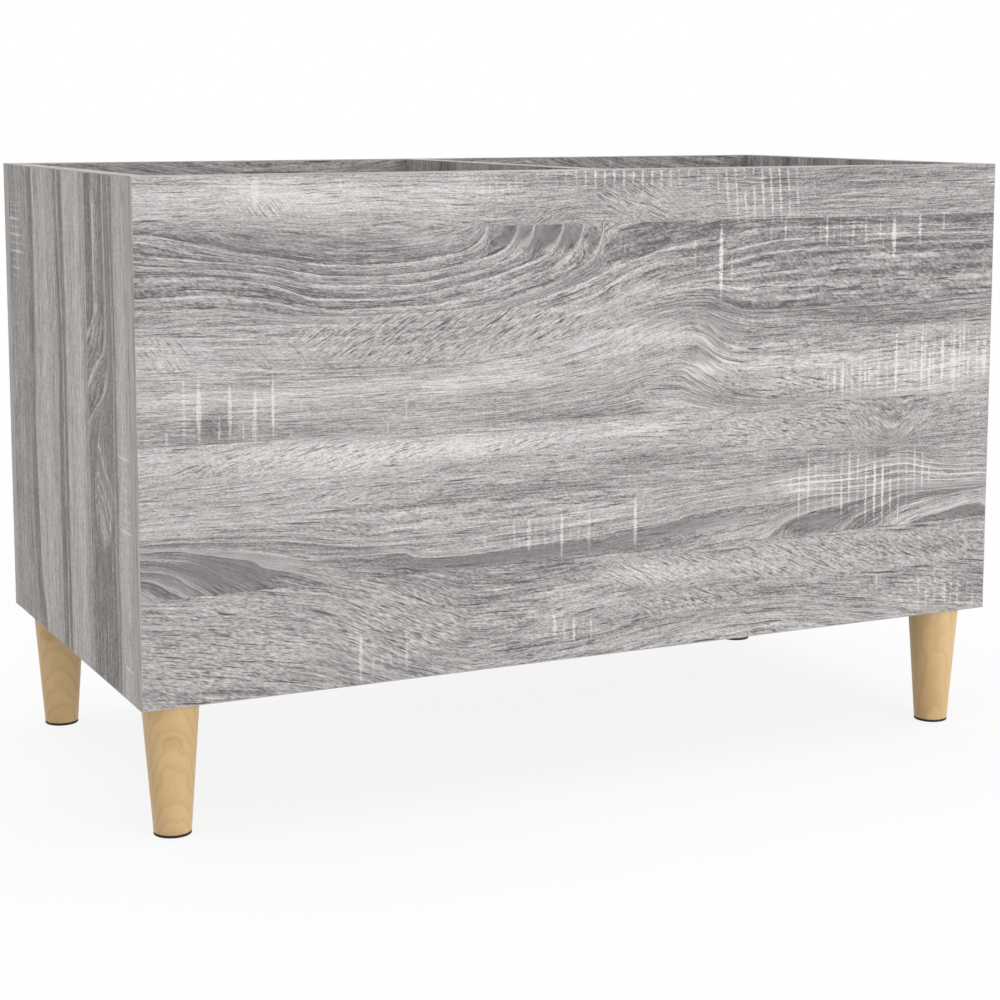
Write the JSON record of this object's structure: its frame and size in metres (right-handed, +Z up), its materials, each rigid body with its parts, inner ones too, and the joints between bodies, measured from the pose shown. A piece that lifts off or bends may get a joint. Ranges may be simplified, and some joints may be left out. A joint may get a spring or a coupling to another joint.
{
  "type": "record cabinet",
  "caption": "Open-topped cabinet for records: a grey wood-effect box in two compartments on short tapered wooden legs.",
  "frame": {"origin": "on the floor, under the middle of the cabinet", "axes": "+X along the width, to the right of someone facing the front; +Y from front to back; +Z up"},
  "size_m": [0.745, 0.38, 0.482],
  "materials": {
    "board_decor": "grey oak-effect decor film on particleboard, matt with a fine pore",
    "edge_strip": "thin edging in the same decor, slightly paler",
    "leg_wood": "turned pine, clear matt lacquer",
    "pad": "dark matt foot pad",
    "zinc_steel": "bright zinc plate",
    "cam_zinc": "die-cast zinc, satin",
    "dowel_wood": "plain birch"
  },
  "bodies": {
    "root": {"front_panel": "board_decor", "back_panel": "board_decor", "left_side_panel": "board_decor", "right_side_panel": "board_decor", "bottom_panel": "board_decor", "centre_divider": "board_decor", "front_panel_edging": "edge_strip", "back_panel_edging": "edge_strip", "left_side_edging": "edge_strip", "right_side_edging": "edge_strip", "divider_edging": "edge_strip", "front_left_leg": "leg_wood", "front_right_leg": "leg_wood", "back_left_leg": "leg_wood", "back_right_leg": "leg_wood", "front_left_pad": "pad", "front_right_pad": "pad", "back_left_pad": "pad", "back_right_pad": "pad", "hanger_bolts": "zinc_steel", "leg_inserts": "zinc_steel", "cam_bolts": "zinc_steel", "cam_nuts": "cam_zinc", "wood_dowels": "dowel_wood"}
  },
  "joints": []
}
